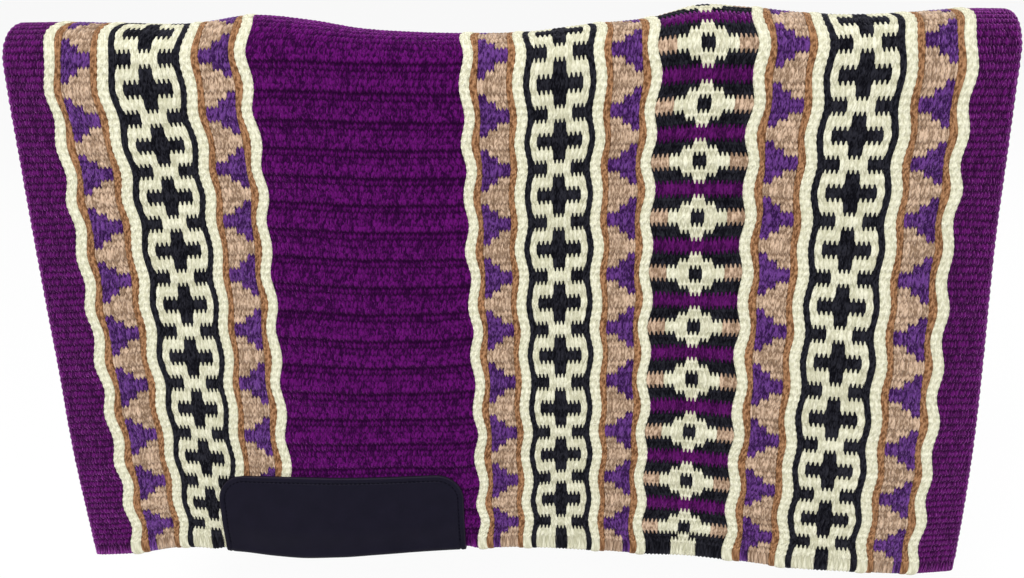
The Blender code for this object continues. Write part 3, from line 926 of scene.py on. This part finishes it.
# Each yarn's colour of painted shade in its valleys, its darker and lighter fibres' colours, how mottled it
# is, and its sheen
WOOLS = {
    PURPLE: ((0.011, 0.0003, 0.015), (0.022, 0.0009, 0.03), (0.118, 0.0052, 0.138), 3.0, 1.0),
    # The same purple with painted haze of grazing light, paler and greyer
    PURPLE_PAINTED_HAZE: ((0.012, 0.0012, 0.015), (0.029, 0.0021, 0.035), (0.116, 0.0078, 0.13), 2.6, 1.0),
    VIOLET: ((0.018, 0.005, 0.036), (0.026, 0.0065, 0.052), (0.14, 0.047, 0.24), 3.6, 0.8),
    CREAM: ((0.36, 0.35, 0.23), (0.57, 0.55, 0.39), (0.83, 0.81, 0.64), 2.6, 0.1),
    TAN: ((0.15, 0.09, 0.058), (0.25, 0.16, 0.1), (0.68, 0.49, 0.35), 2.6, 0.3),
    BROWN: ((0.065, 0.027, 0.012), (0.125, 0.054, 0.023), (0.43, 0.225, 0.112), 2.8, 0.3),
    BLACK: ((0.002, 0.002, 0.004), (0.003, 0.003, 0.005), (0.022, 0.022, 0.03), 2.6, 0.3),
}


def wool(name, deep, dark, pale, mottle, sheen):
    """Spun yarn: strands side by side in a stitch, flecks of paler and darker fibres, and painted shade in
    its valleys.
    """
    n = Nodes(name)
    stitch = n.add("ShaderNodeUVMap", uv_map="Stitch")
    cloth = n.add("ShaderNodeUVMap", uv_map="Cloth")
    tone = n.add("ShaderNodeAttribute", attribute_name="tone", output=2)
    painted_shade_share = n.add("ShaderNodeAttribute", attribute_name="deep", output=2)
    split = n.tree.nodes.new("ShaderNodeSeparateXYZ")
    n.feed(split.inputs[0], stitch)
    across, along, _ = split.outputs

    def stitch_noise(across_scale, along_scale, offset):
        at = n.add(
            "ShaderNodeCombineXYZ",
            n.math("MULTIPLY_ADD", along, STRAND_LEAN, n.math("MULTIPLY", across, across_scale)),
            n.math("MULTIPLY", along, along_scale),
            n.math("MULTIPLY_ADD", tone, TONES_APART, offset),
        )
        return n.math("SUBTRACT", n.noise(at, *STITCH_NOISE), MIDDLE)

    strands = stitch_noise(*STRANDS)
    flecks = stitch_noise(*FLECKS)
    fibres = stitch_noise(*FIBRES)
    shares = (
        (strands, mottle),
        (flecks, FLECKS_SHARE * mottle),
        (fibres, FIBRES_SHARE * mottle),
        (n.math("SUBTRACT", tone, MIDDLE), TONE_SHARE),
        (n.math("SUBTRACT", n.noise(cloth, *CLOTH_NOISE), MIDDLE), CLOTH_SHARE),
    )
    paleness = MIDDLE
    for change, share in shares:
        paleness = n.math("MULTIPLY_ADD", change, share, paleness)
    colour = n.mix(n.math("MINIMUM", n.math("MAXIMUM", paleness, 0.0), 1.0), dark, pale)
    # Painted shade: low places are mixed towards the yarn's valley colour
    valley = n.math("MULTIPLY", n.math("MULTIPLY", painted_shade_share, painted_shade_share), VALLEY_SHADE)
    n.surface(n.mix(n.math("MINIMUM", valley, DARKEST_PAINTED_SHADE), colour, deep), *WOOL_SURFACE)
    n.shader.inputs["Sheen Weight"].default_value = sheen
    n.shader.inputs["Sheen Roughness"].default_value = SHEEN_ROUGHNESS
    tint = [min(SHEEN_GAIN * c**SHEEN_PALER, 1) for c in pale]
    n.shader.inputs["Sheen Tint"].default_value = (*tint, 1)
    relief = n.math("MULTIPLY_ADD", fibres, FIBRES_RELIEF, strands)
    n.bump(n.math("MULTIPLY_ADD", flecks, FLECKS_RELIEF, relief), *WOOL_RELIEF)
    return n.material


# Hide: its noises, colours, relief and surface
SCUFF_NOISE = (45.0, 4, 0.6)
GRAIN_SCALE = 1400.0
HIDE_DARK = (0.0025, 0.0022, 0.0075)
HIDE_PALE = (0.0075, 0.0062, 0.016)
HIDE_EDGE = (0.025, 0.02, 0.032)
SCUFF_RELIEF = 0.6
GRAIN_RELIEF = 0.5
HIDE_RELIEF = (0.35, 0.0003)
HIDE_SURFACE = (0.55, 0.08)
# Its burnished edge: the most that the edge's own colour counts, and how fast that fades, per metre in
EDGE_SHARE = 0.6
EDGE_FADE = 700.0


def hide_finish(name):
    """Smooth matte leather: fine grain, soft scuffs and a burnished edge."""
    n = Nodes(name)
    cloth = n.add("ShaderNodeUVMap", uv_map="Cloth")
    inset = n.add("ShaderNodeAttribute", attribute_name="inset", output=2)
    scuffs = n.noise(cloth, *SCUFF_NOISE)
    grain = n.tree.nodes.new("ShaderNodeTexVoronoi")
    n.feed(grain.inputs["Vector"], cloth)
    grain.inputs["Scale"].default_value = GRAIN_SCALE
    edge = n.math("SUBTRACT", 1.0, n.math("MINIMUM", n.math("MULTIPLY", inset, EDGE_FADE), 1.0))
    colour = n.mix(scuffs, HIDE_DARK, HIDE_PALE)
    n.surface(n.mix(n.math("MULTIPLY", edge, EDGE_SHARE), colour, HIDE_EDGE), *HIDE_SURFACE)
    relief = n.math("MULTIPLY", grain.outputs["Distance"], GRAIN_RELIEF)
    n.bump(n.math("MULTIPLY_ADD", scuffs, SCUFF_RELIEF, relief), *HIDE_RELIEF)
    return n.material


# Thread: its twist, and how dark and how light it gets beside its own colour
TWIST_NOISE = (1800.0, 2, 0.5)
THREAD_SHADES = (0.6, 1.5)
THREAD_RELIEF = (0.5, 0.0002)
THREAD_SURFACE = (0.8, 0.05)
SEAM_COLOUR = (0.0035, 0.003, 0.0075)
WARP_COLOUR = (0.62, 0.56, 0.45)


def thread_finish(name, colour):
    """Twisted thread, in darker and lighter shades of its colour."""
    n = Nodes(name)
    coordinates = n.tree.nodes.new("ShaderNodeTexCoord")
    twist = n.noise(coordinates.outputs["Object"], *TWIST_NOISE)
    dark, pale = (tuple(shade * c for c in colour) for shade in THREAD_SHADES)
    n.surface(n.mix(twist, dark, pale), *THREAD_SURFACE)
    n.bump(twist, *THREAD_RELIEF)
    return n.material


def settle(piece, slot, *nodes):
    """Ties a finished piece to the part: its body and the nodes that it stands for. The slot is not used.
    """
    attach(piece, "root")
    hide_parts(*nodes)


# The narrow lines that outline a wide band
OUTLINES = {"cross_band": ("black_line",), "triangle_band": ("brown_line", "cream_line")}


def lines_beside(index, kind):
    """The names of the narrow lines that outline a wide band, on both its sides."""
    beside = OUTLINES.get(kind, ())
    found = []
    for step in (-1, 1):
        at = index + step
        while beside and STRIPES[at][1] in beside:
            found.append(NAMES[at])
            at += step
    return found


def make_cloth():
    """Every stripe, in its yarns."""
    yarns = {yarn: wool(f"{YARNS[yarn]}_yarn", *finish) for yarn, finish in WOOLS.items()}
    pieces = {}
    for index, (name, kind, _, _) in enumerate(STRIPES):
        piece, used = (weave if kind in WEAVES else lay_line)(name, kind, index)
        for yarn in used:
            piece.data.materials.append(yarns[yarn])
        settle(piece, SLOTS[kind], name)
        pieces[name] = piece
    for index, (name, kind, left, right) in enumerate(STRIPES):
        if kind in WEAVES:
            lines = [pieces[line] for line in lines_beside(index, kind)]


def make_leathers():
    """The wear leathers and their seams, one of each on either flap."""
    hide = hide_finish("dark_hide")
    thread = thread_finish("waxed_thread", SEAM_COLOUR)
    for side, flap in (("near", 1), ("far", -1)):
        leather_name = f"{side}_wear_leather"
        seam_name = f"{side}_seam_thread"
        leather = sew_on_leather(leather_name, flap)
        leather.data.materials.append(hide)
        settle(leather, "wear_leather", leather_name)
        seam = sew_seam(seam_name, leather_name, flap)
        seam.data.materials.append(thread)
        settle(seam, "seam_thread", seam_name)


def finish_warp():
    """The hidden warp stays the parts' own layer, in a finish of its own."""
    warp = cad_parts["warp_cords"]
    warp.data.materials.clear()
    warp.data.materials.append(thread_finish("warp_cord_yarn", WARP_COLOUR))


# Camera, as fitted to the photograph
CAMERA_AT = (0.062, -0.851, 0.112)
CAMERA_DOWN = math.radians(21.8)
CAMERA_LEFT = math.radians(3.9)
CAMERA_ROLL = math.radians(-1.7)
FOCAL_PIXELS = 950
PHOTO_WIDTH = 1024
SENSOR = 36


def set_camera():
    data = bpy.data.cameras.new("camera")
    data.sensor_fit = "HORIZONTAL"
    data.sensor_width = SENSOR
    data.lens = FOCAL_PIXELS / PHOTO_WIDTH * SENSOR
    camera = bpy.data.objects.new("camera", data)
    bpy.context.scene.collection.objects.link(camera)
    turn = Matrix.Rotation(CAMERA_LEFT, 4, "Z") @ Matrix.Rotation(math.pi / 2 - CAMERA_DOWN, 4, "X")
    camera.matrix_world = Matrix.Translation(CAMERA_AT) @ turn @ Matrix.Rotation(CAMERA_ROLL, 4, "Z")
    bpy.context.scene.camera = camera


# Floor and light. Over the floor and the background lies a white that only the camera, reflections and
# glass see, so it doesn't wash the cloth out
WHITE = (1, 1, 1, 1)
FLOOR_AT = -0.66
FLOOR_SIZE = 30
FLOOR_COLOUR = (0.9, 0.9, 0.9, 1)
FLOOR_ROUGHNESS = 0.9
FLOOR_WHITENESS = 0.9
WORLD_LIGHT = 0.38
# Each lamp's place, size and power. All of them face the origin, under the fold
LAMPS = (
    ("key", (-0.7, -2.2, 2.1), 1.2, 80),
    ("fill", (1.8, -2.2, 0.6), 1.8, 12),
    ("back", (0.4, 2.4, 1.8), 1.8, 42),
    ("top", (0.1, -0.2, 1.9), 1.2, 11),
)


def seen_directly(tree):
    """1 for the rays of the camera, reflections and glass, and 0 for light that falls on things."""
    path = tree.nodes.new("ShaderNodeLightPath")
    seen = path.outputs["Is Camera Ray"]
    for other in ("Is Glossy Ray", "Is Transmission Ray"):
        most = tree.nodes.new("ShaderNodeMath")
        most.operation = "MAXIMUM"
        tree.links.new(seen, most.inputs[0])
        tree.links.new(path.outputs[other], most.inputs[1])
        seen = most.outputs[0]
    return seen


def join_shaders(tree, share, first, second, end):
    """Mixes two shaders, by the second one's share, into the tree's end node."""
    mix = tree.nodes.new("ShaderNodeMixShader")
    tree.links.new(share, mix.inputs[0])
    tree.links.new(first.outputs[0], mix.inputs[1])
    tree.links.new(second.outputs[0], mix.inputs[2])
    tree.links.new(mix.outputs[0], tree.nodes[end].inputs[0])


def lay_floor():
    bpy.ops.mesh.primitive_plane_add(size=FLOOR_SIZE, location=(0, 0, FLOOR_AT))
    floor = bpy.context.object
    floor.name = "floor"
    n = Nodes("pale_floor")
    n.shader.inputs["Base Color"].default_value = FLOOR_COLOUR
    n.shader.inputs["Roughness"].default_value = FLOOR_ROUGHNESS
    white = n.tree.nodes.new("ShaderNodeEmission")
    share = n.math("MULTIPLY", seen_directly(n.tree), FLOOR_WHITENESS)
    join_shaders(n.tree, share, n.shader, white, "Material Output")
    floor.data.materials.append(n.material)


def set_background():
    """White where it is seen directly, and an even light on the blanket."""
    world = bpy.data.worlds.new("studio")
    bpy.context.scene.world = world
    world.use_nodes = True
    tree = world.node_tree
    plain = tree.nodes["Background"]
    plain.inputs["Strength"].default_value = WORLD_LIGHT
    plain.inputs["Color"].default_value = WHITE
    white = tree.nodes.new("ShaderNodeBackground")
    white.inputs["Color"].default_value = WHITE
    join_shaders(tree, seen_directly(tree), plain, white, "World Output")


def hang_lamps():
    """Large soft lamps."""
    for name, at, size, power in LAMPS:
        data = bpy.data.lights.new(name, "AREA")
        data.size = size
        data.energy = power
        lamp = bpy.data.objects.new(name, data)
        bpy.context.scene.collection.objects.link(lamp)
        lamp.location = at
        lamp.rotation_euler = (-Vector(at)).to_track_quat("-Z", "Y").to_euler()


make_cloth()
make_leathers()
finish_warp()
set_camera()
lay_floor()
set_background()
hang_lamps()
bpy.context.scene.view_settings.view_transform = "Standard"
